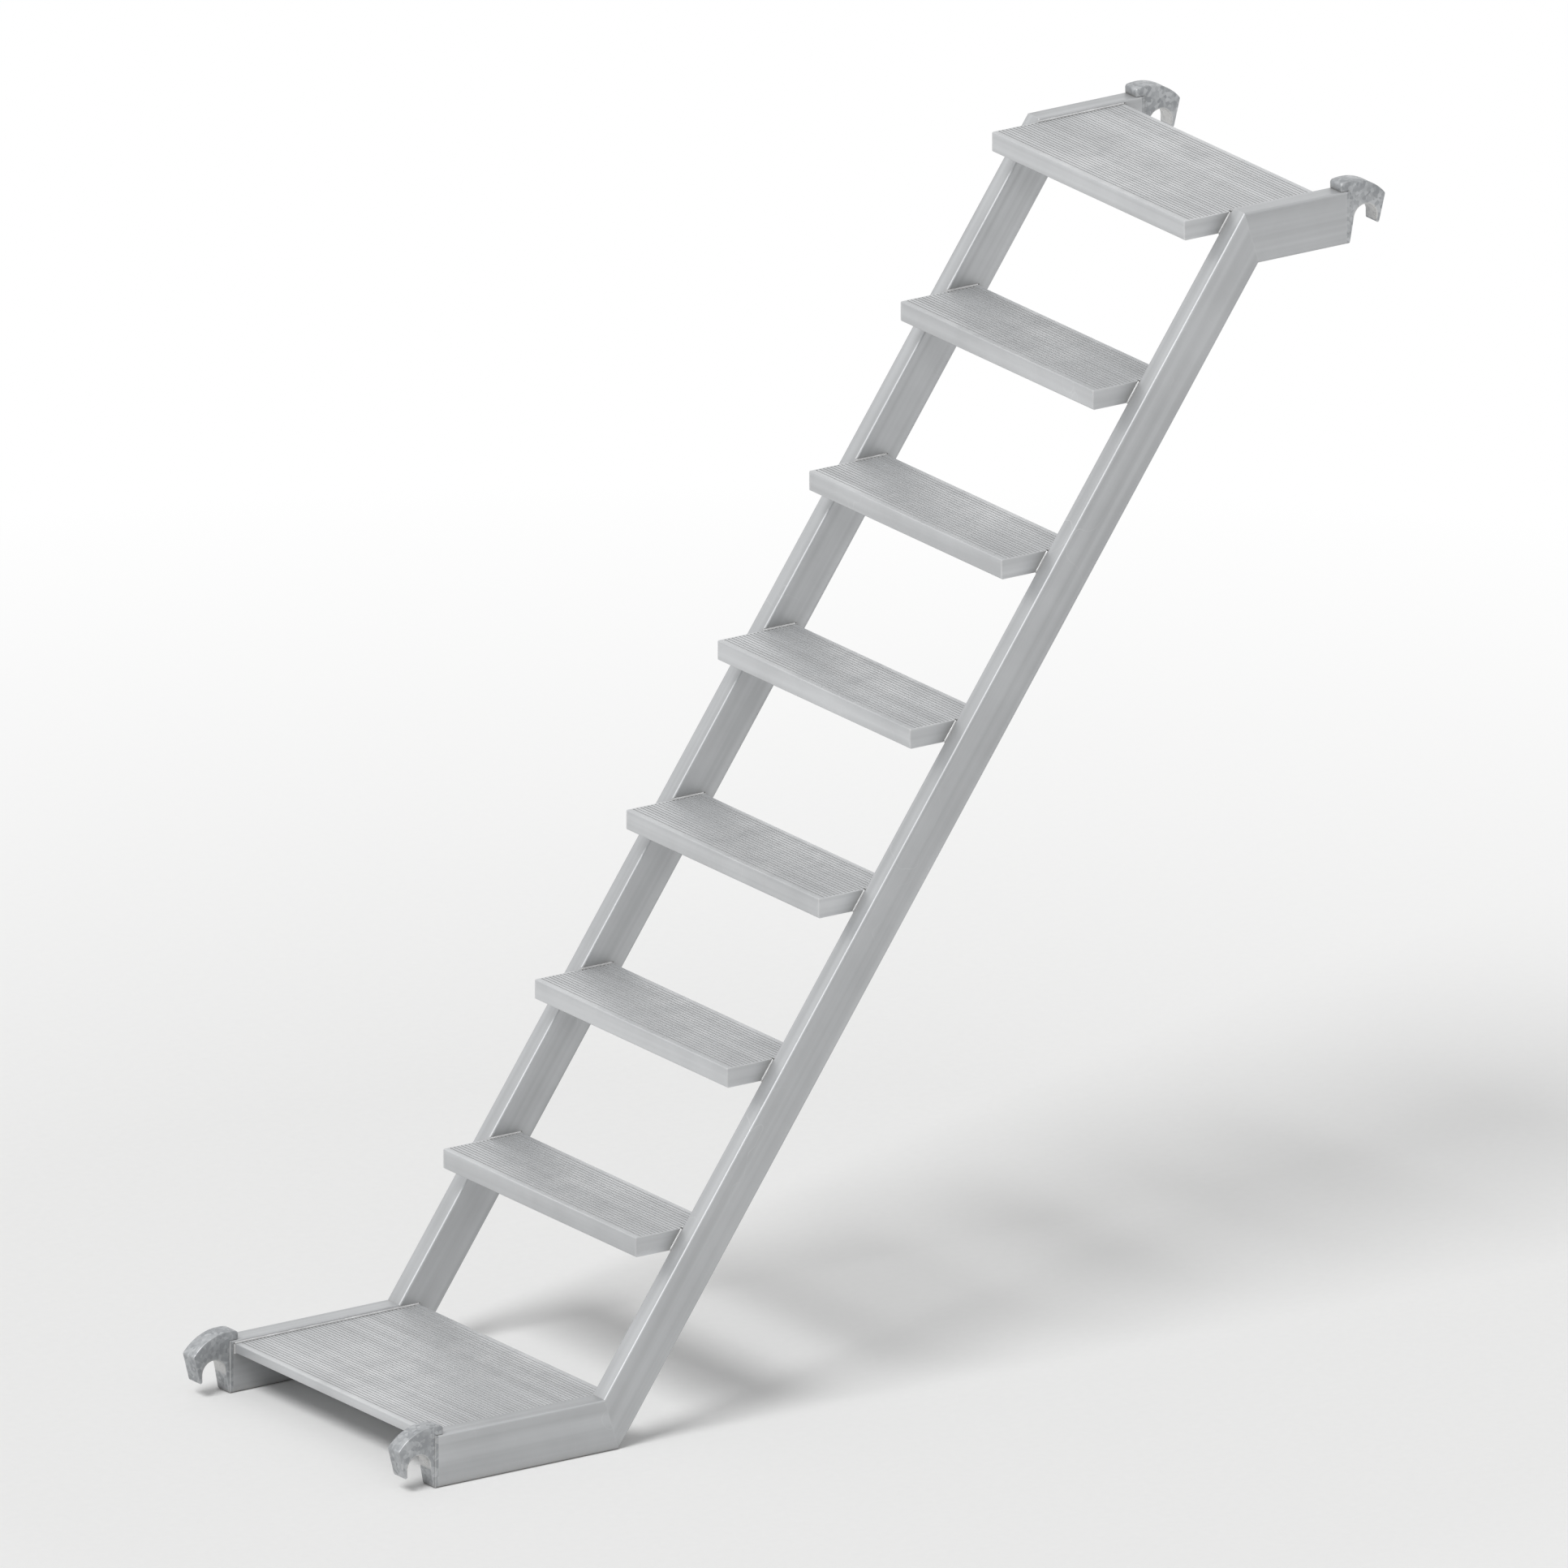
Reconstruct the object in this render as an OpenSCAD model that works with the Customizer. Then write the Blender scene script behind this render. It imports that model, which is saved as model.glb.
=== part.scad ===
// Stair flight for a tube scaffold: two cranked box stringers, six plank treads, a landing at
// each end, and four claw hooks that drop over the scaffold's horizontal tubes.
// Frame: the origin is on the lower tube's axis, midway between the stringers.
// +X is the direction of travel up the stair, +Y is to the left of travel and +Z is up.

/* [Scaffold bay] */
// Distance between the two supporting tubes, centre to centre
bay = 2070; // [1700:10:2600]
// Height from the lower supporting tube to the upper one
lift = 2000; // [1600:50:2400]
// Number of equal rises between the two landings
rises = 7; // [6:1:9]
// Outside diameter of the supporting tubes
tube_d = 48.3; // [38:0.1:58]

/* [Stringers] */
// Width of the stair over both stringers
stair_w = 700; // [580:10:900]
// Thickness of a stringer from side to side
stringer_t = 40; // [32:1:50]
// Depth of the level sections at both ends
end_depth = 100; // [80:1:125]
// Depth of the raked section, square to its slope
rake_depth = 82.5; // [66:0.5:100]
// Wall thickness of the hollow stringer
stringer_wall = 3; // [2:0.5:5]
// Radius of the stringer's outside corners
corner_r = 4; // [2:0.5:8]
// Length of the lower level section along its top edge
lower_len = 363; // [300:1:450]
// Length of the upper level section along its top edge
upper_len = 223; // [180:1:280]

/* [Treads and landings] */
// Depth of a tread from front to back
tread_depth = 170; // [140:1:210]
// Thickness of the treads and of the upper landing
tread_t = 37; // [30:1:46]
// How far a tread's front stands forward of the raked edge, at the tread's top
nosing = 100; // [80:1:120]
// Drop from the stringers' top edge to a landing's top
landing_drop = 6; // [4:1:10]
// Distance from the stringers' lower end to the lower landing
lower_landing_inset = 3; // [0:1:20]
// Depth of the lower landing from front to back
lower_landing_depth = 403; // [340:1:420]
// Thickness of the lower landing
lower_landing_t = 18; // [14:1:24]
// Distance from the upper landing's back edge to the stringers' upper end
upper_landing_inset = 38; // [30:1:60]
// Wall thickness of the hollow planks
plank_wall = 2; // [1.5:0.5:4]
// Width of one hollow cell in a plank, which sets how many webs it has
cell_pitch = 57; // [40:1:80]
// Radius of a plank's long edges
plank_edge_r = 2; // [1:0.5:4]
// Distance between two anti-slip ribs
rib_pitch = 8; // [6:1:14]
// Width of the groove between two ribs
groove_w = 3; // [2:0.5:5]
// Depth of the grooves
groove_depth = 1; // [0.5:0.1:1.5]
// Plain strip before the first rib and after the last one
rib_margin = 6; // [4:1:20]
// Thickness of the plates that close the planks' ends
end_plate_t = 3; // [2:0.5:6]

/* [Hooks] */
// Width of a hook along the tube
hook_w = 36; // [28:1:40]
// Distance from the stringer's end to the tube's axis
reach = 42; // [36:1:52]
// Height of the tube's axis above the stringer's underside
seat_h = 44; // [36:1:53]
// Gap all round between the tube and the hook's seat
seat_clearance = 0.5; // [0.2:0.1:1]
// Thickness of the head plate on the stringer's end
head_plate_t = 6; // [4:1:8]
// Radius of the hook's crown
crown_r = 96; // [90:1:110]
// Height of the crown above the stringer's top edge
crown_rise = 18; // [14:1:22]
// Distance from the stringer's end to the crown's highest point
crown_out = 11; // [8:1:16]
// Distance from the stringer's end to the shoulder where the nose turns down
shoulder_out = 86; // [82:1:92]
// Radius that rounds the shoulder
shoulder_r = 5; // [3:0.5:8]
// How far the nose's tip hangs below the tube's axis
tip_drop = 15; // [10:1:20]
// Thickness of the nose at its rounded tip
tip_t = 6.4; // [5:0.1:8]
// Thickness of the hook's inner leg at its foot
foot_t = 3; // [2:0.5:5]
// Height of the leg's foot above the stringer's underside
foot_h = 2; // [0:1:6]
// Length of the lip that lies on the stringer's top edge
lip_len = 11; // [8:1:16]
// Radius that rounds the lip's end
lip_r = 6; // [3:0.5:8]

/* [Hidden] */
treads = rises - 1;

// Circles are this fine wherever they are drawn as a mesh
$fn = 96;
// Room that a cutting shape leaves beyond what it cuts
margin = 20;
// Lets an arc cross the line that it would otherwise only touch, which keeps every corner clean
ease = 0.05;

// Levels and ends of the level sections
lower_underside = -seat_h;
lower_top = lower_underside + end_depth;
upper_top = lower_top + lift;
lower_end = reach;
upper_end = bay - reach;

// The flight: its slope runs from the lower section's top corner to the upper one's
going = (upper_end - lower_end - lower_len - upper_len) / rises;
rise = lift / rises;
slope = atan2(rise, going);
lower_kink = [lower_end + lower_len, lower_top];
upper_kink = [upper_end - upper_len, upper_top];
// The underside turns further along, so that the raked section keeps its own depth
kink_shift = (rake_depth - end_depth * cos(slope)) / sin(slope);
mitre = [kink_shift, -end_depth];

// Planks fill the width between the stringers
clear_w = stair_w - 2 * stringer_t;
plank_w = clear_w - 2 * end_plate_t;
stringer_y = (stair_w - stringer_t) / 2;
end_plate_y = (clear_w - end_plate_t) / 2;
landing_top = lower_top - landing_drop;

// Hook outline, with u outward from the stringer's end and v up from its underside
seat_r = tube_d / 2 + seat_clearance;
seat = [reach, seat_h];
crown = [crown_out, end_depth + crown_rise - crown_r];
throat_out = reach + seat_r - ease;
tip_r = tip_t / 2;
tip = [throat_out + tip_r, seat_h - tip_drop + tip_r];
shoulder = [shoulder_out, crown[1] + sqrt(pow(crown_r, 2) - pow(shoulder_out - crown_out, 2))];
foot = [head_plate_t + foot_t, foot_h];

// Direction of a line from point p that touches the circle at c on its left-hand side
function tangent_angle(p, c, r) = atan2(c[1] - p[1], c[0] - p[0]) + asin(r / norm(c - p));
// Point where that line touches the circle
function tangent_point(p, c, r) =
    p + sqrt(pow(norm(c - p), 2) - r * r) * unit(tangent_angle(p, c, r));
// Point one millimetre away in a direction
function unit(angle) = [cos(angle), sin(angle)];
// Depth from front to back of a tread, or of the upper landing on the last step
function plank_depth(step) =
    step < rises ? tread_depth : upper_end - upper_landing_inset - plank_front(step);
// Top of the plank on a step, where step 0 is the lower landing
function plank_top(step) = landing_top + step * rise;
// Front of the plank on a step, the nosing's length before the raked edge
function plank_front(step) = lower_kink[0] + (plank_top(step) - lower_top) / tan(slope) - nosing;

// The nose's outer face runs down from the shoulder and touches the rounded tip
nose_along = unit(tangent_angle(shoulder, tip, tip_r));
nose_inward = [nose_along[1], -nose_along[0]];
nose_top = shoulder - margin * nose_along;
nose_bottom = tangent_point(shoulder, tip, tip_r) + margin * nose_along;
tip_outward = tip - margin * nose_inward;
leg_top = tangent_point(foot, seat, seat_r - ease);
// Centre of the arc that rounds the shoulder, touching both the crown and the nose
shoulder_offset = shoulder + shoulder_r * nose_inward - crown;
shoulder_slide = -shoulder_offset * nose_along - sqrt(
    pow(shoulder_offset * nose_along, 2) - shoulder_offset * shoulder_offset
    + pow(crown_r - shoulder_r, 2)
);
shoulder_centre = crown + shoulder_offset + shoulder_slide * nose_along;
shoulder_low = shoulder + shoulder_slide * nose_along;
shoulder_high = crown + crown_r / (crown_r - shoulder_r) * (shoulder_centre - crown);
// Centre of the arc that rounds the lip's end, touching both the crown and the end face
lip_rise = sqrt(pow(crown_r - lip_r, 2) - pow(crown_out + lip_len - lip_r, 2));
lip_centre = [lip_r - lip_len, crown[1] + lip_rise];
lip_low = [-lip_len, lip_centre[1]];
lip_high = crown + crown_r / (crown_r - lip_r) * (lip_centre - crown);
lip_corner = [-lip_len, crown[1] + sqrt(pow(crown_r, 2) - pow(crown_out + lip_len, 2))];

// Flat rectangle from the origin with true round corners
module rounded_rect(size, r) {
    translate([r, 0]) square([size[0] - 2 * r, size[1]]);
    translate([0, r]) square([size[0], size[1] - 2 * r]);
    for (x = [r, size[0] - r], y = [r, size[1] - r]) {
        translate([x, y]) circle(r);
    }
}

// Stands a flat outline in x and z upright and gives it a width about the plane y = 0
module across(width) {
    rotate([90, 0, 0]) linear_extrude(height = width, center = true) children();
}

// Rounds one corner of a flat outline with an arc that meets its two sides at a and b
module round_corner(a, corner, b, centre, r) {
    difference() {
        children();
        difference() {
            polygon([a, 2 * corner - centre, b]);
            translate(centre) circle(r + ease);
        }
    }
}

// Straight hollow box tube along +X, with its top at z = 0
module box_tube(length, depth) {
    inner_r = max(corner_r - stringer_wall, 0.5);
    rotate([90, 0, 90]) linear_extrude(height = length) translate([-stringer_t / 2, -depth]) {
        difference() {
            rounded_rect([stringer_t, depth], corner_r);
            translate([stringer_wall, stringer_wall]) {
                rounded_rect([stringer_t - 2 * stringer_wall, depth - 2 * stringer_wall], inner_r);
            }
        }
    }
}

// Lower level section, cut off along the mitre
module lower_stringer() {
    cut_top = lower_kink - mitre;
    cut_bottom = lower_kink + 2 * mitre;
    color("whitesmoke") intersection() {
        translate([lower_end, 0, lower_top]) box_tube(lower_len + end_depth, end_depth);
        across(stair_w) polygon([
            [lower_end - margin, cut_bottom[1]],
            [lower_end - margin, cut_top[1]],
            cut_top,
            cut_bottom
        ]);
    }
}

// Raked section between the two mitres
module raked_stringer() {
    run = norm(upper_kink - lower_kink);
    over = 2 * end_depth;
    color("whitesmoke") intersection() {
        translate([lower_kink[0], 0, lower_kink[1]]) rotate([0, -slope, 0]) {
            translate([-over, 0, 0]) box_tube(run + 2 * over, rake_depth);
        }
        across(stair_w) polygon([
            lower_kink - mitre,
            upper_kink - mitre,
            upper_kink + 2 * mitre,
            lower_kink + 2 * mitre
        ]);
    }
}

// Upper level section, cut off along the mitre
module upper_stringer() {
    cut_top = upper_kink - mitre;
    cut_bottom = upper_kink + 2 * mitre;
    color("whitesmoke") intersection() {
        translate([upper_end - upper_len - end_depth, 0, upper_top]) {
            box_tube(upper_len + end_depth, end_depth);
        }
        across(stair_w) polygon([
            cut_top,
            [upper_end + margin, cut_top[1]],
            [upper_end + margin, cut_bottom[1]],
            cut_bottom
        ]);
    }
}

// Puts a hook or a head plate on the lower end, where outward is -X
module at_lower_end() {
    translate([lower_end, 0, lower_underside]) mirror([1, 0, 0]) children();
}

// Puts a hook or a head plate on the upper end, where outward is +X
module at_upper_end() {
    translate([upper_end, 0, lower_underside + lift]) children();
}

// Puts a stringer's pieces on the left (1) or the right (-1)
module on_side(side) {
    translate([0, side * stringer_y, 0]) children();
}

// Plate that closes the stringer's end and carries the hook
module head_plate() {
    color("gainsboro") rotate([90, 0, 90]) linear_extrude(height = head_plate_t) {
        translate([-stringer_t / 2, 0]) rounded_rect([stringer_t, end_depth], corner_r);
    }
}

// Outline of the hook before its corners are rounded and its seat is cut
module sharp_hook() {
    intersection() {
        translate(crown) circle(crown_r);
        polygon([
            [-lip_len, end_depth],
            [-lip_len, crown[1] + crown_r + margin],
            nose_top,
            nose_bottom,
            [throat_out, nose_bottom[1]],
            [throat_out, seat_h],
            seat,
            leg_top,
            foot,
            [head_plate_t, foot_h],
            [head_plate_t, end_depth]
        ]);
    }
}

// What is cut away below the nose to leave its round tip
module below_tip() {
    difference() {
        polygon([
            [tip[0] - margin, tip[1]],
            tip,
            tip_outward,
            [tip_outward[0], tip[1] - 2 * margin],
            [tip[0] - margin, tip[1] - 2 * margin]
        ]);
        translate(tip) circle(tip_r + ease);
    }
}

// Claw hook: crown, half-round seat for the tube, nose in front and leg behind
module hook() {
    color("gainsboro") across(hook_w) {
        difference() {
            round_corner(shoulder_low, shoulder, shoulder_high, shoulder_centre, shoulder_r) {
                round_corner(lip_low, lip_corner, lip_high, lip_centre, lip_r) sharp_hook();
            }
            translate(seat) circle(seat_r);
            below_tip();
        }
    }
}

// Outline of a hollow plank, from its front at x = 0 back, with its ribbed top at y = 0
module plank_outline(depth, thickness) {
    cells = round(depth / cell_pitch);
    cell_w = (depth - (cells + 1) * plank_wall) / cells;
    cell_h = thickness - 2 * plank_wall - groove_depth;
    grooves = floor((depth - 2 * rib_margin) / rib_pitch);
    first_groove = (depth - (grooves - 1) * rib_pitch - groove_w) / 2;
    difference() {
        translate([0, -thickness]) rounded_rect([depth, thickness], plank_edge_r);
        for (i = [0:cells - 1]) {
            translate([plank_wall + i * (cell_w + plank_wall), plank_wall - thickness]) {
                square([cell_w, cell_h]);
            }
        }
        for (i = [0:grooves - 1]) {
            translate([first_groove + i * rib_pitch, -groove_depth]) {
                square([groove_w, groove_depth + margin]);
            }
        }
    }
}

// Moves a plank's outline to its step
module on_step(step) {
    translate([plank_front(step), 0, plank_top(step)]) children();
}

// Lower landing, which lies between the level sections and needs no end plates
module lower_landing() {
    color("white") translate([lower_end + lower_landing_inset, 0, landing_top]) {
        across(clear_w) plank_outline(lower_landing_depth, lower_landing_t);
    }
}

// Tread, or the upper landing on the last step
module tread(step) {
    color("white") on_step(step) across(plank_w) plank_outline(plank_depth(step), tread_t);
}

// Plates between the planks and one stringer, which close the ends that stand forward
module tread_end_plates(side) {
    color("whitesmoke") for (step = [1:rises]) {
        on_step(step) translate([0, side * end_plate_y, -tread_t]) {
            across(end_plate_t) rounded_rect([plank_depth(step), tread_t], plank_edge_r);
        }
    }
}

on_side(1) lower_stringer();  // left_lower_stringer
on_side(1) raked_stringer();  // left_raked_stringer
on_side(1) upper_stringer();  // left_upper_stringer
on_side(-1) lower_stringer();  // right_lower_stringer
on_side(-1) raked_stringer();  // right_raked_stringer
on_side(-1) upper_stringer();  // right_upper_stringer
on_side(1) at_lower_end() head_plate();  // left_lower_head_plate
on_side(-1) at_lower_end() head_plate();  // right_lower_head_plate
on_side(1) at_upper_end() head_plate();  // left_upper_head_plate
on_side(-1) at_upper_end() head_plate();  // right_upper_head_plate
on_side(1) at_lower_end() hook();  // left_lower_hook
on_side(-1) at_lower_end() hook();  // right_lower_hook
on_side(1) at_upper_end() hook();  // left_upper_hook
on_side(-1) at_upper_end() hook();  // right_upper_hook
lower_landing();
tread(rises);  // upper_landing
for (step = [1:treads]) {
    tread(step);
}
tread_end_plates(1);  // left_tread_end_plates
tread_end_plates(-1);  // right_tread_end_plates
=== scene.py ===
# %% [markdown]
# # A scaffold stair flight
#
# This flight hangs between two horizontal scaffold tubes. Two cranked box stringers carry six
# ribbed planks as treads and a landing at each end, and a claw hook on each stringer end drops
# over a tube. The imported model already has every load-bearing piece at its real size, so the
# work left for Blender is what a fabrication shop and a building site add to it: forged edges
# on the hooks, the weld beads that hold it together, and the surfaces.

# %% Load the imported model
import math

import bpy
from mathutils import Matrix, Vector


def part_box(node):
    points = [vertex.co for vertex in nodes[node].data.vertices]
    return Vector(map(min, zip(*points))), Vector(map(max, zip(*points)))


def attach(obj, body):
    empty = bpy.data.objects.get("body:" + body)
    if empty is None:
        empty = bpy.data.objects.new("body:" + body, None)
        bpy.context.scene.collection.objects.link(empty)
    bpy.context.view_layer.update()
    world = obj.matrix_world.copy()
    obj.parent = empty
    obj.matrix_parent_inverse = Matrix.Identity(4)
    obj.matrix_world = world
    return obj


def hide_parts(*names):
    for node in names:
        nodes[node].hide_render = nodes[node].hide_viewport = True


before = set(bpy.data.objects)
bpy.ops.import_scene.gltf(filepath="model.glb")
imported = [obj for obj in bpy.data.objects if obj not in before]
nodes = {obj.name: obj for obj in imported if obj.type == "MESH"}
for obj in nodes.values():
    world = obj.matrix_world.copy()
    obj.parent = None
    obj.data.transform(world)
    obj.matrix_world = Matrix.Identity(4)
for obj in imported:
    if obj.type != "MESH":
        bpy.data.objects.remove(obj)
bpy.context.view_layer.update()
bpy.ops.object.select_all(action="DESELECT")

# %% [markdown]
# ## Measuring the frame
#
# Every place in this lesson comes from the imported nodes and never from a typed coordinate. The
# stringers' inner faces, the steps and the slope are read off the boxes of the nodes once and
# get names, so that a weld can later be laid exactly where two pieces meet.


# %% Read the stair's own lines
def extent(node):
    """A node's lowest and highest corners as two vectors."""
    low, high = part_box(node)
    return Vector(low), Vector(high)


STEPS = [f"tread_{step}" for step in range(1, 7)] + ["upper_landing"]
inner_y = extent("left_raked_stringer")[0].y
lower_section = extent("left_lower_stringer")
upper_section = extent("left_upper_stringer")
first_step, last_step = extent(STEPS[0]), extent(STEPS[-1])
flight = last_step[1] - first_step[1]
rise = flight.z / (len(STEPS) - 1)
going = (last_step[0].x - first_step[0].x) / (len(STEPS) - 1)
slope = math.atan2(rise, going)
lower_kink = Vector((upper_section[0].x - going * len(STEPS), 0, lower_section[1].z))
upper_kink = Vector((upper_section[0].x, 0, upper_section[1].z))
lower_hook, upper_hook = extent("left_lower_hook"), extent("left_upper_hook")
bay = lower_hook[0].x + upper_hook[1].x
lift = upper_hook[0].z - lower_hook[0].z
print("bay", round(bay, 4), "lift", round(lift, 4))
print("rise", round(rise, 4), "going", round(going, 4), "slope", round(math.degrees(slope), 2))


def raked_edge(z):
    """Where the raked section's upper face stands at a height."""
    return lower_kink.x + (z - lower_kink.z) / math.tan(slope)


# %% [markdown]
# ## Camera
#
# The stair is looked at as on a parts sheet, without perspective, so that parallel edges stay
# parallel. An orthographic camera does that. It looks along the right-hand stringer from a
# little above, and it is centred on the outline that the object makes from there, which is
# found by measuring every box corner along the camera's own two axes.

# %% Camera
VIEW_TURN = math.radians(-34.2)
VIEW_HEIGHT = math.radians(18.35)
FILL = 0.898
CAMERA_DISTANCE = 6.0

towards_camera = Vector((
    math.sin(VIEW_TURN) * math.cos(VIEW_HEIGHT),
    -math.cos(VIEW_TURN) * math.cos(VIEW_HEIGHT),
    math.sin(VIEW_HEIGHT),
))
turn = towards_camera.to_track_quat("Z", "Y")
right, up = turn @ Vector((1, 0, 0)), turn @ Vector((0, 1, 0))
points = [v.co for piece in nodes.values() for v in piece.data.vertices]
across = [p.dot(right) for p in points]
upward = [p.dot(up) for p in points]
aim = right * (min(across) + max(across)) / 2 + up * (min(upward) + max(upward)) / 2

bpy.ops.object.camera_add(location=aim + towards_camera * CAMERA_DISTANCE)
camera = bpy.context.object
camera.name = "camera"
camera.rotation_mode = "QUATERNION"
camera.rotation_quaternion = turn
camera.data.type = "ORTHO"
camera.data.ortho_scale = (max(upward) - min(upward)) / FILL
bpy.context.scene.camera = camera
bpy.ops.object.select_all(action="DESELECT")
print("seen height", round(max(upward) - min(upward), 3), "frame", round(camera.data.ortho_scale, 3))

# %% [markdown]
# ## A helper for materials
#
# A procedural material is a small tree of nodes. Writing each node in one line, with its
# settings and what feeds it, keeps the tree readable as a recipe. A socket given as a value is
# set, and a socket given another node's output is linked.


# %% Node helper
def add(tree, kind, sockets=None, **settings):
    """Adds one node, sets or links its sockets and returns its first output."""
    made = tree.nodes.new(kind)
    for name, value in settings.items():
        setattr(made, name, value)
    for name, value in (sockets or {}).items():
        if isinstance(value, bpy.types.NodeSocket):
            tree.links.new(value, made.inputs[name])
        else:
            made.inputs[name].default_value = value
    return made.outputs[0]


def new_material(name):
    """A material with nothing but its output and a Principled shader linked to it."""
    material = bpy.data.materials.new(name)
    material.use_nodes = True
    tree = material.node_tree
    shader = tree.nodes["Principled BSDF"]
    return material, tree, shader


def placed(tree, scale, turn_y=0.0):
    """Object coordinates, turned about Y and then stretched."""
    where = add(tree, "ShaderNodeTexCoord")
    coordinates = where.node.outputs["Object"]
    turned = add(tree, "ShaderNodeMapping", {"Vector": coordinates, "Rotation": (0, turn_y, 0)})
    return add(tree, "ShaderNodeMapping", {"Vector": turned, "Scale": scale})


def noise(tree, vector, scale, detail=3.0, roughness=0.55):
    """Grey noise between about 0.3 and 0.7."""
    return add(tree, "ShaderNodeTexNoise", {
        "Vector": vector, "Scale": scale, "Detail": detail, "Roughness": roughness,
    })


def spread(tree, value, low, high, to_low=0.0, to_high=1.0):
    """Stretches the values between low and high over a new range, and clamps the rest."""
    return add(tree, "ShaderNodeMapRange", {
        "Value": value, "From Min": low, "From Max": high, "To Min": to_low, "To Max": to_high,
    })


def maths(tree, operation, a, b=0.0):
    """One step of arithmetic on two values or sockets."""
    return add(tree, "ShaderNodeMath", {0: a, 1: b}, operation=operation)


COLOUR_A, COLOUR_B, COLOUR_RESULT = 6, 7, 2


def blend_colour(tree, factor, a, b):
    """Mixes two colours."""
    mixed = add(tree, "ShaderNodeMix", {0: factor, COLOUR_A: a, COLOUR_B: b}, data_type="RGBA")
    return mixed.node.outputs[COLOUR_RESULT]

# %% [markdown]
# ## Floor and light
#
# The floor is a wide pale disc at the level of the stringers' undersides, matt enough to hold a
# soft shadow. Towards its rim it turns into plain white, so that it meets the white world with
# no horizon. The world is white wherever it is seen, directly or in metal, and a softer grey as
# a lamp. One large, low-contrast sun from the upper left gives the faces their different tones.

# %% Floor
FLOOR_RADIUS = 14.0
FLOOR_COLOUR = (0.9, 0.9, 0.895, 1.0)
FADE_FROM, FADE_TO = 1.6, 5.0
SPECKLE_SCALE = 60.0

bpy.ops.mesh.primitive_circle_add(
    vertices=96, radius=FLOOR_RADIUS, fill_type="NGON",
    location=(aim.x, 0, lower_section[0].z),
)
floor = bpy.context.object
floor.name = "floor"
bpy.ops.object.transform_apply(location=True)
print("floor at", round(lower_section[0].z, 4))

# %% Floor finish
material, tree, shader = new_material("pale_floor")
where = placed(tree, (1, 1, 0))
centre = add(tree, "ShaderNodeVectorMath", {0: where, 1: (aim.x, 0, 0)}, operation="SUBTRACT")
length = add(tree, "ShaderNodeVectorMath", {0: centre}, operation="LENGTH")
fade = spread(tree, length.node.outputs["Value"], FADE_FROM, FADE_TO)
speckle = spread(tree, noise(tree, where, SPECKLE_SCALE), 0.3, 0.7, 0.985, 1.0)
scaled = add(tree, "ShaderNodeVectorMath", {0: FLOOR_COLOUR[:3], "Scale": speckle}, operation="SCALE")
tree.links.new(scaled, shader.inputs["Base Color"])
shader.inputs["Roughness"].default_value = 0.9
shader.inputs["Specular IOR Level"].default_value = 0.1
white = add(tree, "ShaderNodeEmission", {"Color": (1, 1, 1, 1), "Strength": 1.0})
rays = tree.nodes.new("ShaderNodeLightPath").outputs
seen = maths(tree, "MAXIMUM", rays["Is Camera Ray"], rays["Is Glossy Ray"])
share = maths(tree, "MULTIPLY", fade, seen)
output = tree.nodes["Material Output"]
mixed = add(tree, "ShaderNodeMixShader", {0: share, 1: shader.outputs[0], 2: white})
tree.links.new(mixed, output.inputs["Surface"])
floor.data.materials.append(material)
print("floor white from", FADE_TO, "m")

# %% World
WORLD_LIGHT = 0.46

world = bpy.data.worlds.new("studio")
bpy.context.scene.world = world
world.use_nodes = True
tree = world.node_tree
tree.nodes.clear()
rays = tree.nodes.new("ShaderNodeLightPath").outputs
seen = maths(tree, "MAXIMUM", rays["Is Camera Ray"], rays["Is Glossy Ray"])
seen = maths(tree, "MAXIMUM", seen, rays["Is Transmission Ray"])
strength = spread(tree, seen, 0.0, 1.0, WORLD_LIGHT, 1.0)
sky = add(tree, "ShaderNodeBackground", {"Color": (1, 1, 1, 1), "Strength": strength})
output = tree.nodes.new("ShaderNodeOutputWorld")
tree.links.new(sky, output.inputs["Surface"])
print("world", WORLD_LIGHT)

# %% Sun
SUN_STRENGTH = 1.75
SUN_SOFTNESS = math.radians(24)
SUN_FROM = Vector((-0.62, -0.18, 0.9))

bpy.ops.object.light_add(type="SUN", location=aim + SUN_FROM * CAMERA_DISTANCE)
sun = bpy.context.object
sun.name = "soft_key"
sun.rotation_mode = "QUATERNION"
sun.rotation_quaternion = SUN_FROM.to_track_quat("Z", "Y")
sun.data.energy = SUN_STRENGTH
sun.data.angle = SUN_SOFTNESS
bpy.ops.object.select_all(action="DESELECT")
bpy.context.scene.view_settings.view_transform = "Standard"
print("sun", SUN_STRENGTH)

# %% [markdown]
# ## Aluminium
#
# Stringers and planks are extrusions in mill finish. The die leaves faint lines along the
# section, handling leaves thin bright scratches across them, and the oxide is never quite even.
# The lines are noise stretched along the section, so the mapping first turns to the section's
# own slope. Edges are lightened towards bare metal, partly as wear and partly as a painted
# highlight, and joints and groove bottoms are darkened with painted shade: a bevel test finds
# the edges, and an occlusion test finds the joints and the bottoms of the grooves.


# %% Masks for edges, joints and scratches
EDGE_FROM, EDGE_FULL = 0.995, 0.85
OPEN_FROM, OPEN_FULL = 0.9, 0.35


def edge_mask(tree, radius):
    """About 1 on a sharp edge and 0 on a flat face."""
    rounded = add(tree, "ShaderNodeBevel", {"Radius": radius}, samples=4)
    flat = tree.nodes.new("ShaderNodeNewGeometry").outputs["Normal"]
    alike = add(tree, "ShaderNodeVectorMath", {0: rounded, 1: flat}, operation="DOT_PRODUCT")
    return spread(tree, alike.node.outputs["Value"], EDGE_FROM, EDGE_FULL)


def joint_mask(tree, reach):
    """About 1 in a corner or a groove and 0 on an open face."""
    openness = add(tree, "ShaderNodeAmbientOcclusion", {"Distance": reach}, samples=6)
    return spread(tree, openness.node.outputs["AO"], OPEN_FROM, OPEN_FULL)


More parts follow.
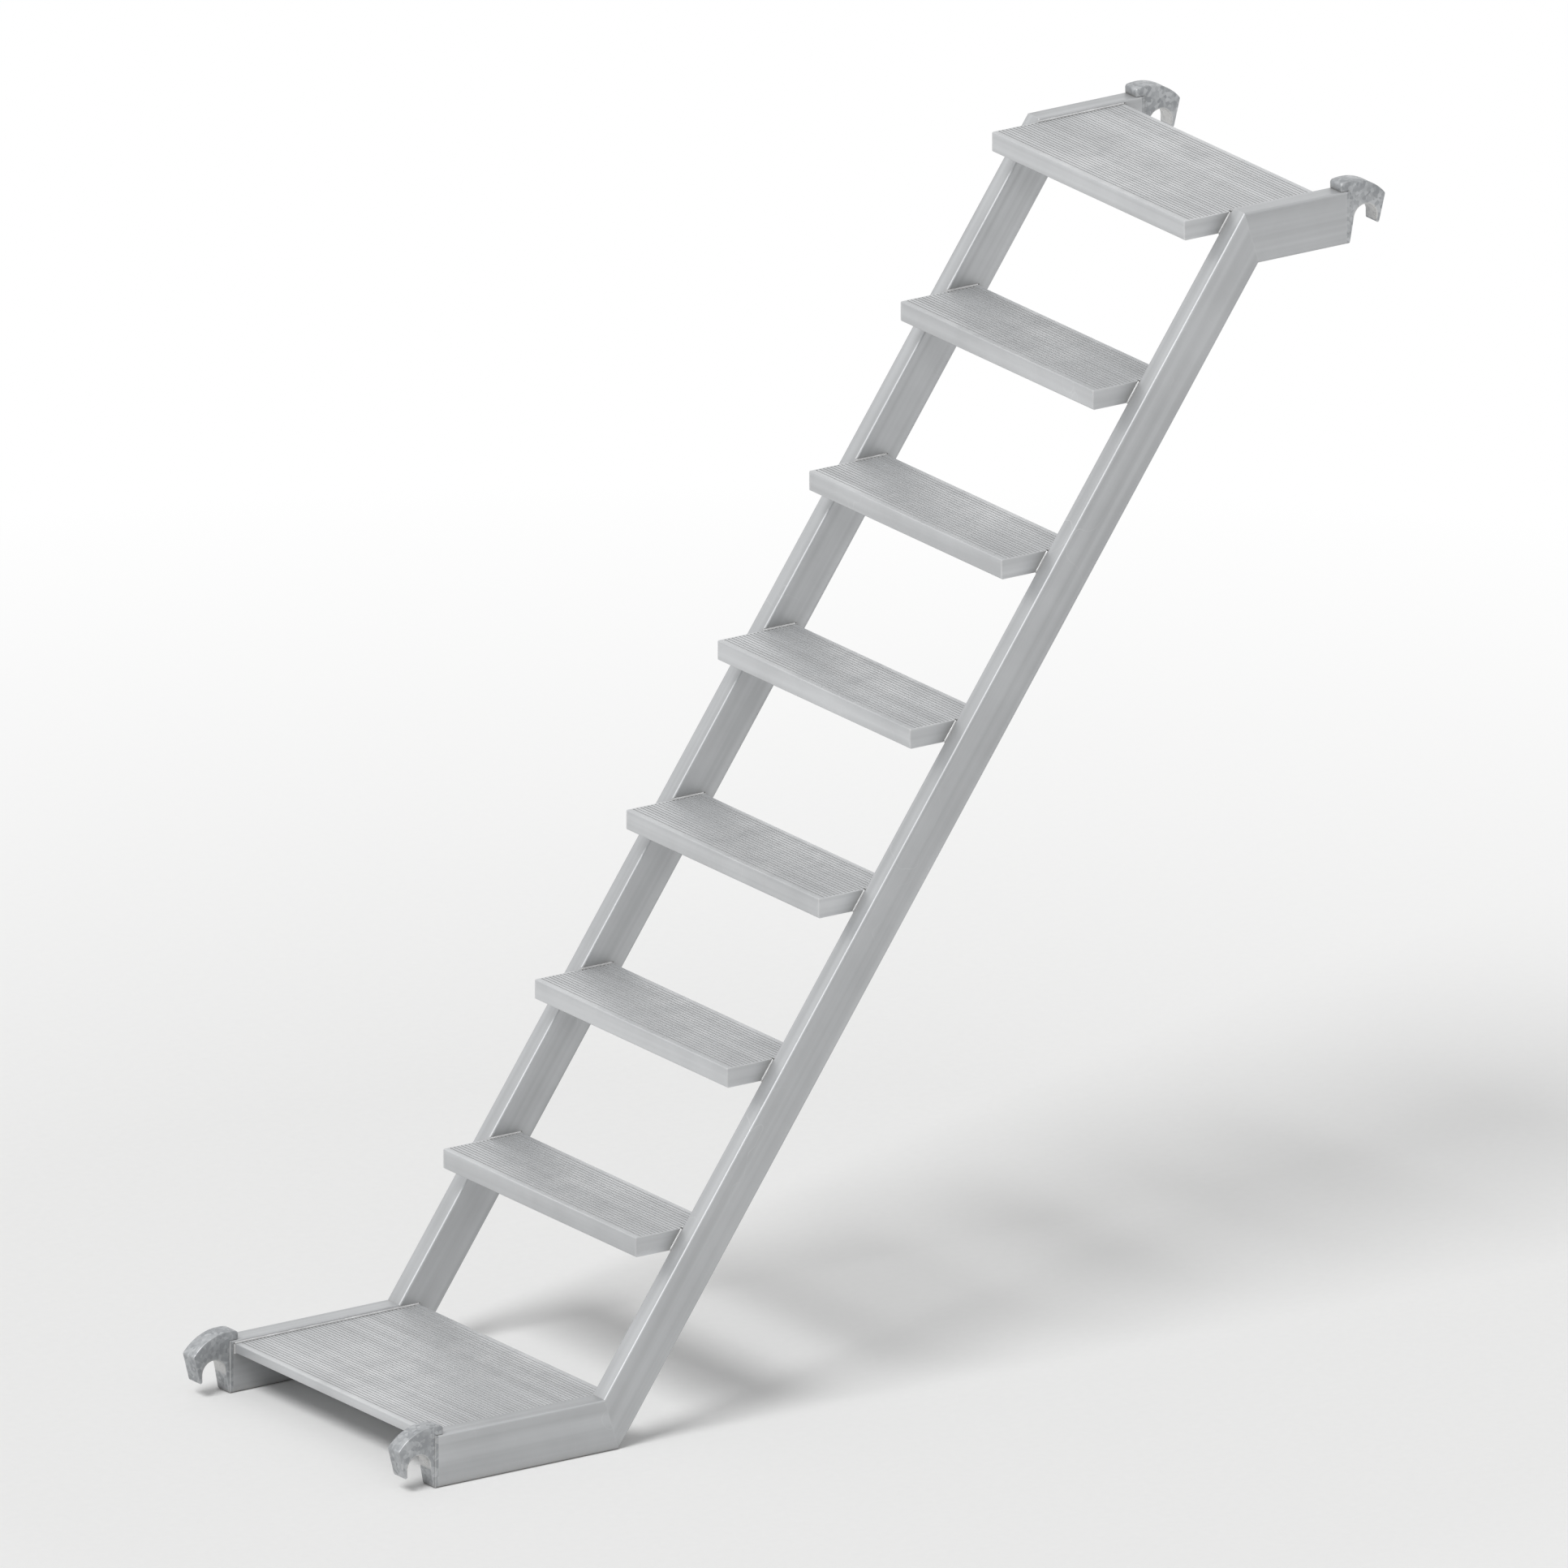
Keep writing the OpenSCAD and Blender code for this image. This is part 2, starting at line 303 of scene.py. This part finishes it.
def scratches(tree, vector, scale, width):
    """Thin wandering lines: the places where a noise passes through its middle value."""
    wander = noise(tree, vector, scale, 1.5)
    offset = maths(tree, "ABSOLUTE", maths(tree, "SUBTRACT", wander, 0.5))
    line = spread(tree, offset, 0.0, width, 1.0, 0.0)
    patches = spread(tree, noise(tree, vector, scale * 0.35), 0.5, 0.62)
    return maths(tree, "MULTIPLY", line, patches)


# %% Aluminium recipe
LINE_STRETCH = 0.012
# Bare metal colour for scuffs, polish and edge wear; on edges it is also a painted highlight.
BARE_AND_HIGHLIT_ALUMINIUM = (0.8, 0.805, 0.81, 1.0)
# Painted shade for joints, corners and the bottoms of grooves.
PAINTED_JOINT_SHADE = (0.2, 0.195, 0.185, 1.0)
ALUMINIUM_METALLIC = 0.55
DIE_LINES, BROAD_LINES, CLOUDS, SCUFFS = 260.0, 45.0, 5.0, 9.0
SCUFF_WIDTH = 0.003
SCUFF_SHARE = 0.25


def shade(colour, factor):
    """A darker or lighter colour of the same kind, with an alpha."""
    return tuple(min(1.0, factor * channel) for channel in colour) + (1.0,)


def aluminium(name, colour, run, turn_y=0.0, edge=0.004, reach=0.03,
              edge_wear_and_highlight=0.4, painted_shade=0.7, polish=None):
    """Mill-finish extrusion: run stretches its lines, and polish may add a mask of its own."""
    material, tree, shader = new_material(name)
    lines_at = placed(tree, run, turn_y)
    plain = placed(tree, (1, 1, 1), turn_y)
    lines = noise(tree, lines_at, DIE_LINES, 2.0)
    broad = noise(tree, lines_at, BROAD_LINES, 2.0)
    cloud = noise(tree, plain, CLOUDS, 5.0)
    scuff = scratches(tree, plain, SCUFFS, SCUFF_WIDTH)
    edges = edge_mask(tree, edge)
    joints = joint_mask(tree, reach)

    tone = maths(tree, "ADD", maths(tree, "MULTIPLY", broad, 0.6), maths(tree, "MULTIPLY", cloud, 0.4))
    base = blend_colour(tree, spread(tree, tone, 0.38, 0.62), shade(colour, 0.88), shade(colour, 1.08))
    # Lightening towards bare metal: scuffs and boot polish are wear, and on edges it is partly wear and
    # partly a painted highlight.
    wear_and_edge_highlight = maths(tree, "MAXIMUM", maths(tree, "MULTIPLY", edges, edge_wear_and_highlight),
                   maths(tree, "MULTIPLY", scuff, SCUFF_SHARE))
    if polish:
        wear_and_edge_highlight = maths(tree, "MAXIMUM", wear_and_edge_highlight, polish(tree))
    base = blend_colour(tree, wear_and_edge_highlight, base, BARE_AND_HIGHLIT_ALUMINIUM)
    # Painted shade: joints, corners and groove bottoms found by the occlusion test are darkened.
    base = blend_colour(tree, maths(tree, "MULTIPLY", joints, painted_shade), base, PAINTED_JOINT_SHADE)
    tree.links.new(base, shader.inputs["Base Color"])

    gloss = spread(tree, tone, 0.35, 0.65, 0.48, 0.36)
    gloss = maths(tree, "ADD", gloss, maths(tree, "MULTIPLY", joints, 0.25))
    gloss = maths(tree, "SUBTRACT", gloss, maths(tree, "MULTIPLY", wear_and_edge_highlight, 0.12))
    tree.links.new(gloss, shader.inputs["Roughness"])
    shader.inputs["Metallic"].default_value = ALUMINIUM_METALLIC
    height = maths(tree, "ADD", lines, maths(tree, "MULTIPLY", scuff, -0.8))
    relief = add(tree, "ShaderNodeBump", {"Height": height, "Strength": 0.25, "Distance": 0.0004})
    tree.links.new(relief, shader.inputs["Normal"])
    return material


# %% [markdown]
# ## Stringers
#
# The level sections run along X and the raked ones along the slope, so there is one finish for
# each direction. Both are the same recipe and the same colour. Their edges are hardly lightened,
# neither as wear nor as painted highlight, because the mitres between them are ground flush and
# must not show as a bright line.

# %% Stringer finishes
STRINGER_COLOUR = (0.5, 0.51, 0.52)
FLUSH_EDGE_WEAR_AND_HIGHLIGHT = 0.1
ALONG_X = (LINE_STRETCH, 1, 1)
ALONG_Y = (1, LINE_STRETCH, 1)


def finish(node, material):
    """Gives a CAD node one material and leaves its mesh alone."""
    nodes[node].data.materials.clear()
    nodes[node].data.materials.append(material)


level_finish = aluminium("level_stringer_aluminium", STRINGER_COLOUR, ALONG_X, edge_wear_and_highlight=FLUSH_EDGE_WEAR_AND_HIGHLIGHT)
raked_finish = aluminium(
    "raked_stringer_aluminium", STRINGER_COLOUR, ALONG_X, slope, edge_wear_and_highlight=FLUSH_EDGE_WEAR_AND_HIGHLIGHT)
for side in ("left", "right"):
    finish(f"{side}_lower_stringer", level_finish)
    finish(f"{side}_upper_stringer", level_finish)
    finish(f"{side}_raked_stringer", raked_finish)
print("stringers finished")

# %% [markdown]
# ## Treads and landings
#
# The planks are ribbed extrusions that run from stringer to stringer, so their lines follow Y.
# Boots polish the crests of the ribs in the middle of the stair and leave the sides dull, and
# the grooves are darkened with painted shade. A mask that is strong near the centre line and
# broken up by noise does the polish. The occlusion test has a short reach here, so that it finds
# the grooves for that painted shade.

# %% Where boots polish the treads
WALKED_HALF, WALKED_FADE = 0.1, 0.27
POLISH_SCALE = 22.0
POLISH_SHARE = 0.4


def walked_mask(tree):
    """Boot polish on upper faces: strongest on the centre line and gone near the stringers."""
    plain = placed(tree, (1, 1, 1))
    facing = tree.nodes.new("ShaderNodeNewGeometry").outputs["Normal"]
    upwards = add(tree, "ShaderNodeSeparateXYZ", {0: facing}).node.outputs["Z"]
    upwards = spread(tree, upwards, 0.5, 0.9, 0.15, 1.0)
    sideways = add(tree, "ShaderNodeSeparateXYZ", {0: plain}).node.outputs["Y"]
    centre = spread(tree, maths(tree, "ABSOLUTE", sideways), WALKED_HALF, WALKED_FADE, 1.0, 0.0)
    patches = spread(tree, noise(tree, plain, POLISH_SCALE, 5.0), 0.34, 0.66)
    polish = maths(tree, "MULTIPLY", maths(tree, "MULTIPLY", centre, patches), POLISH_SHARE)
    return maths(tree, "MULTIPLY", polish, upwards)


# %% Tread finishes
TREAD_COLOUR = (0.58, 0.59, 0.6)
TREAD_PAINTED_SHADE = 0.4
RIB_EDGE = 0.0008
GROOVE_REACH = 0.006

tread_finish = aluminium(
    "tread_aluminium", TREAD_COLOUR, ALONG_Y, edge=RIB_EDGE, reach=GROOVE_REACH,
    painted_shade=TREAD_PAINTED_SHADE, polish=walked_mask)
plate_finish = aluminium("end_plate_aluminium", TREAD_COLOUR, ALONG_X)
for node in ["lower_landing"] + STEPS:
    finish(node, tread_finish)
for side in ("left", "right"):
    finish(f"{side}_tread_end_plates", plate_finish)
print("treads finished")

# %% [markdown]
# ## Galvanised steel
#
# The hooks and their head plates are steel, dipped in molten zinc. Zinc freezes in crystals, the
# spangle, which catch the light differently, and goes dull and patchy outdoors. A cell pattern
# gives each crystal its own tone. The half-round seats slide on steel tube, so they are worn
# bright: the distance from each tube's axis finds them.

# %% Galvanised recipe
ZINC_DARK = (0.33, 0.342, 0.355, 1.0)
ZINC_PALE = (0.5, 0.513, 0.525, 1.0)
WORN_AND_HIGHLIT_STEEL = (0.58, 0.58, 0.575, 1.0)
SEAT_RADIUS = 0.0247
SEAT_WEAR = 0.003
ZINC_METALLIC = 0.7
CRYSTALS, ZINC_CLOUDS, ZINC_GRAIN = 150.0, 24.0, 900.0
ZINC_EDGE, ZINC_REACH = 0.003, 0.015


def distance(tree, vector, point):
    """How far each place is from a point, both seen along Y."""
    between = add(tree, "ShaderNodeVectorMath", {0: vector, 1: point}, operation="DISTANCE")
    return between.node.outputs["Value"]


def galvanised(name):
    """Hot-dip zinc with a spangle, worn in the half-round seats, its edges lightened partly by wear and
    partly as a painted highlight.
    """
    material, tree, shader = new_material(name)
    plain = placed(tree, (1, 1, 1))
    crystals = add(tree, "ShaderNodeTexVoronoi", {"Vector": plain, "Scale": CRYSTALS})
    crystal = add(tree, "ShaderNodeSeparateColor", {0: crystals.node.outputs["Color"]})
    cloud = noise(tree, plain, ZINC_CLOUDS, 5.0)
    grain = noise(tree, plain, ZINC_GRAIN, 2.0)
    edges = edge_mask(tree, ZINC_EDGE)
    joints = joint_mask(tree, ZINC_REACH)

    tone = maths(tree, "ADD", maths(tree, "MULTIPLY", crystal, 0.3), maths(tree, "MULTIPLY", cloud, 0.7))
    base = blend_colour(tree, spread(tree, tone, 0.35, 0.65), ZINC_DARK, ZINC_PALE)
    along_axis = placed(tree, (1, 0, 1))
    reach = maths(tree, "MINIMUM", distance(tree, along_axis, (0, 0, 0)),
                  distance(tree, along_axis, (bay, 0, lift)))
    seat = spread(tree, reach, SEAT_RADIUS + SEAT_WEAR / 2, SEAT_RADIUS + SEAT_WEAR, 1.0, 0.0)
    seat = maths(tree, "MULTIPLY", seat, spread(tree, cloud, 0.35, 0.6, 0.45, 1.0))
    # The seats are real wear; the edges are lightened partly as wear and partly as a painted highlight.
    worn_and_edge_highlight = maths(tree, "MAXIMUM", seat, maths(tree, "MULTIPLY", edges, 0.55))
    base = blend_colour(tree, worn_and_edge_highlight, base, WORN_AND_HIGHLIT_STEEL)
    # Painted shade: joints found by the occlusion test are darkened.
    base = blend_colour(tree, maths(tree, "MULTIPLY", joints, 0.6), base, PAINTED_JOINT_SHADE)
    tree.links.new(base, shader.inputs["Base Color"])

    gloss = spread(tree, tone, 0.3, 0.7, 0.6, 0.42)
    gloss = maths(tree, "SUBTRACT", gloss, maths(tree, "MULTIPLY", worn_and_edge_highlight, 0.16))
    tree.links.new(gloss, shader.inputs["Roughness"])
    shader.inputs["Metallic"].default_value = ZINC_METALLIC
    height = maths(tree, "ADD", maths(tree, "MULTIPLY", grain, 0.5), cloud)
    relief = add(tree, "ShaderNodeBump", {"Height": height, "Strength": 0.35, "Distance": 0.0006})
    tree.links.new(relief, shader.inputs["Normal"])
    return material


# %% Head plates
zinc_finish = galvanised("galvanised_steel")
for side in ("left", "right"):
    for level in ("lower", "upper"):
        finish(f"{side}_{level}_head_plate", zinc_finish)
print("head plates finished")

# %% [markdown]
# ## Forged hooks
#
# Each hook is a drop forging: its outline is exact but no edge is sharp, because the die can't
# fill a sharp corner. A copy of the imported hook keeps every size. Its loose triangles are merged
# and its flat faces dissolved into single faces, and then a bevel rounds every edge that turns
# by more than a few tens of degrees. Remeshing would round them too, but would blur the seat.

# %% Forge one hook
FORGED_EDGE = 0.0013
FORGED_STEPS = 3
SHARP_TURN = math.radians(35)
FLAT_TURN = math.radians(0.5)
SMOOTH_TURN = math.radians(32)
MERGE = 0.00001


def forged(node, name):
    """Replaces a packed hook by a merged copy with rounded edges."""
    piece = bpy.data.objects.new(name, nodes[node].data.copy())
    bpy.context.collection.objects.link(piece)
    bpy.ops.object.select_all(action="DESELECT")
    piece.select_set(True)
    bpy.context.view_layer.objects.active = piece
    bpy.ops.object.mode_set(mode="EDIT")
    bpy.ops.mesh.select_all(action="SELECT")
    bpy.ops.mesh.remove_doubles(threshold=MERGE)
    bpy.ops.mesh.dissolve_limited(angle_limit=FLAT_TURN)
    bpy.ops.object.mode_set(mode="OBJECT")
    rounding = piece.modifiers.new("rounding", "BEVEL")
    rounding.width = FORGED_EDGE
    rounding.segments = FORGED_STEPS
    rounding.limit_method = "ANGLE"
    rounding.angle_limit = SHARP_TURN
    rounding.use_clamp_overlap = False
    bpy.ops.object.modifier_apply(modifier=rounding.name)
    bpy.ops.object.shade_smooth_by_angle(angle=SMOOTH_TURN)
    piece.data.materials.clear()
    piece.data.materials.append(zinc_finish)
    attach(piece, "root")
    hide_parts(node)
    return piece


# %% Forge the four hooks
for side in ("left", "right"):
    for level in ("lower", "upper"):
        hook = forged(f"{side}_{level}_hook", f"{side}_{level}_forged_hook")
        print(hook.name, len(hook.data.vertices), "vertices", len(hook.data.polygons), "faces")

# %% [markdown]
# ## Weld beads
#
# A weld bead is a row of frozen ripples, each lapping over the last, and the ripples lean because
# the middle of the pool runs ahead of its rims. One ripple is a ring that swells and narrows
# again. It is drawn from a tilted circle by two extrusions. An array repeats it along a seam, and
# merging the doubles makes one closed tube, half of which sinks into the corner it fills.

# %% Model one ripple
RIPPLE_SIDES = 12
RIPPLE_PITCH = 0.55
RIPPLE_NECK = 0.9
RIPPLE_CREST = 0.35
RIPPLE_LEAN = math.radians(30)

bpy.ops.object.select_all(action="DESELECT")
bpy.ops.mesh.primitive_circle_add(
    vertices=RIPPLE_SIDES, radius=RIPPLE_NECK, rotation=(0, RIPPLE_LEAN, 0),
)
ripple = bpy.context.object
ripple.name = "ripple"
bpy.ops.object.transform_apply(rotation=True)
bpy.ops.object.mode_set(mode="EDIT")
bpy.ops.mesh.select_all(action="SELECT")
for step, swell in ((RIPPLE_CREST, 1 / RIPPLE_NECK), (1 - RIPPLE_CREST, RIPPLE_NECK)):
    bpy.ops.mesh.extrude_edges_move(TRANSFORM_OT_translate={"value": (0, 0, step * RIPPLE_PITCH)})
    bpy.ops.transform.resize(value=(swell, swell, swell))
bpy.ops.object.mode_set(mode="OBJECT")
print("ripple", len(ripple.data.vertices), "vertices", [round(v, 3) for v in ripple.dimensions])


# %% Lay a bead
def lay_bead(start, end, crown, radius):
    """Repeats the ripple from start to end, with its crown towards the given direction."""
    start, end, crown = Vector(start), Vector(end), Vector(crown).normalized()
    run = end - start
    count = max(2, round(run.length / (radius * RIPPLE_PITCH)))
    stretch = run.length / (count * RIPPLE_PITCH)
    bpy.ops.object.select_all(action="DESELECT")
    ripple.select_set(True)
    bpy.context.view_layer.objects.active = ripple
    bpy.ops.object.duplicate()
    bead = bpy.context.object
    repeat = bead.modifiers.new("repeat", "ARRAY")
    repeat.count = count
    repeat.use_relative_offset = False
    repeat.use_constant_offset = True
    repeat.constant_offset_displace = (0, 0, RIPPLE_PITCH)
    repeat.use_merge_vertices = True
    repeat.merge_threshold = 0.001
    bpy.ops.object.modifier_apply(modifier=repeat.name)
    forward = run.normalized()
    sideways = forward.cross(crown)
    bead.matrix_world = Matrix((
        (crown.x * radius, sideways.x * radius, forward.x * stretch, start.x),
        (crown.y * radius, sideways.y * radius, forward.y * stretch, start.y),
        (crown.z * radius, sideways.z * radius, forward.z * stretch, start.z),
        (0, 0, 0, 1),
    ))
    bpy.ops.object.transform_apply()
    return bead


# %% Join beads into a weld
BEAD_SMOOTH = math.radians(33)


def declare_weld(piece, material):
    """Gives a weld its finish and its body."""
    piece.data.materials.clear()
    piece.data.materials.append(material)
    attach(piece, "root")
    print(piece.name, len(piece.data.polygons), "faces")


def join_weld(name, beads, material):
    """Joins beads into one closed piece that rides on the stair."""
    bpy.ops.object.select_all(action="DESELECT")
    for bead in beads:
        bead.select_set(True)
    bpy.context.view_layer.objects.active = beads[0]
    bpy.ops.object.join()
    bpy.ops.object.mode_set(mode="EDIT")
    bpy.ops.mesh.select_all(action="SELECT")
    bpy.ops.mesh.fill_holes(sides=0)
    bpy.ops.mesh.select_all(action="SELECT")
    bpy.ops.mesh.normals_make_consistent(inside=False)
    bpy.ops.object.mode_set(mode="OBJECT")
    bpy.ops.object.shade_smooth_by_angle(angle=BEAD_SMOOTH)
    piece = bpy.context.object
    piece.name = name
    piece.data.name = name
    declare_weld(piece, material)
    return piece


# %% [markdown]
# ## Aluminium welds at the treads
#
# Each tread end is welded to the stringer all round: along the top, down the back, along the
# underside, and down the stringer's raked edge where the nosing passes in front of it. The six
# treads are alike, so the welds of the first are modelled and the others are copies, one going
# and one rise further on. The bead on the raked edge sits a little deeper, in the section's
# rounded corner.

# %% Weld finish
WELD_COLOUR = (0.5, 0.505, 0.51)
bead_finish = aluminium(
    "weld_aluminium", WELD_COLOUR, (1, 1, 1), edge=0.0012, reach=0.012, edge_wear_and_highlight=FLUSH_EDGE_WEAR_AND_HIGHLIGHT)

# %% Weld the first tread
TREAD_BEAD = 0.0036
CORNER_DEPTH = 0.001
rake_out = Vector((-math.sin(slope), 0, math.cos(slope)))


def end_seams(side, front_top, front_bottom, back, top, bottom, raked):
    """The four seams round one end of a tread: start, end and crown of each bead."""
    inwards = Vector((0, -side, 0))
    y = side * inner_y
    corners = [Vector((front_top, y, top)), Vector((back, y, top)),
               Vector((back, y, bottom)), Vector((front_bottom, y, bottom))]
    seams = [
        (corners[0], corners[1], inwards + Vector((0, 0, 1))),
        (corners[1], corners[2], inwards + Vector((1, 0, 0))),
        (corners[2], corners[3], inwards + Vector((0, 0, -1))),
    ]
    if raked:
        sunk = rake_out * -CORNER_DEPTH
        seams.append((corners[3] + sunk, corners[0] + sunk, rake_out - inwards))
    else:
        seams.append((corners[3], corners[0], inwards + Vector((-1, 0, 0))))
    return seams


def weld_step(node, name, raked=True):
    """Welds both ends of a tread or landing."""
    low, high = extent(node)
    front_top = raked_edge(high.z) if raked else low.x
    front_bottom = raked_edge(low.z) if raked else low.x
    beads = []
    for side in (1, -1):
        seams = end_seams(side, front_top, front_bottom, high.x, high.z, low.z, raked)
        for start, end, crown in seams:
            beads.append(lay_bead(start, end, crown, TREAD_BEAD))
    return join_weld(name, beads, bead_finish)


first_weld = weld_step("tread_1", "tread_1_welds")

# %% Copy the welds up the flight
for place in range(1, len(STEPS) - 1):
    bpy.ops.object.select_all(action="DESELECT")
    first_weld.select_set(True)
    bpy.context.view_layer.objects.active = first_weld
    bpy.ops.object.duplicate()
    bpy.ops.transform.translate(value=(going * place, 0, rise * place))
    bpy.ops.object.transform_apply(location=True, rotation=False, scale=False)
    weld = bpy.context.object
    weld.name = f"tread_{place + 1}_welds"
    declare_weld(weld, bead_finish)

# %% Weld the landings
weld_step("lower_landing", "lower_landing_welds", raked=False)
weld_step("upper_landing", "upper_landing_welds")

# %% [markdown]
# ## Mitre welds and hook welds
#
# The cranks of the stringers are mitred and welded. The outer faces are ground flush, so only the
# inner faces keep a low bead, which starts just under the landing. The hooks are welded to their
# head plates along both sides and underneath, before the zinc bath, so these beads are zinc-grey.
# Only a narrow shelf of plate is left beside a hook, so the bead there is thin.

# %% Weld the mitres
MITRE_BEAD = 0.003
MITRE_SUNK = 0.0018
mitre_run = lower_section[1].x - lower_kink.x
mitre_drop = lower_section[1].z - lower_section[0].z
for side, word in ((1, "left"), (-1, "right")):
    beads = []
    for kink, landing in ((lower_kink, "lower_landing"), (upper_kink, "upper_landing")):
        under = kink.z - extent(landing)[0].z + TREAD_BEAD
        y = side * (inner_y + MITRE_SUNK)
        start = Vector((kink.x + mitre_run * under / mitre_drop, y, kink.z - under))
        end = Vector((kink.x + mitre_run, y, kink.z - mitre_drop + TREAD_BEAD))
        beads.append(lay_bead(start, end, (0, -side, 0), MITRE_BEAD))
    join_weld(f"{word}_mitre_welds", beads, bead_finish)

# %% Weld the hooks to their plates
HOOK_BEAD = 0.0019
plate_face = extent("left_lower_head_plate")[0].x
hook_low, hook_high = lower_hook
plate_top = extent("left_lower_head_plate")[1].z
for side, word in ((1, "left"), (-1, "right")):
    for level, flip, x, z in (("lower", 1, plate_face, 0), ("upper", -1, bay - plate_face, lift)):
        near, far = side * hook_low.y, side * hook_high.y
        foot, head = z + hook_low.z, z + plate_top
        seams = [
            ((x, near, foot), (x, near, head), (-flip, -side, 0)),
            ((x, far, foot), (x, far, head), (-flip, side, 0)),
            ((x, near, foot), (x, far, foot), (-flip, 0, -1)),
        ]
        beads = [lay_bead(start, end, crown, HOOK_BEAD) for start, end, crown in seams]
        join_weld(f"{word}_{level}_hook_welds", beads, zinc_finish)

# %% Remove the pattern ripple
bpy.data.objects.remove(ripple, do_unlink=True)
bpy.ops.object.select_all(action="DESELECT")
print("weld pattern removed")
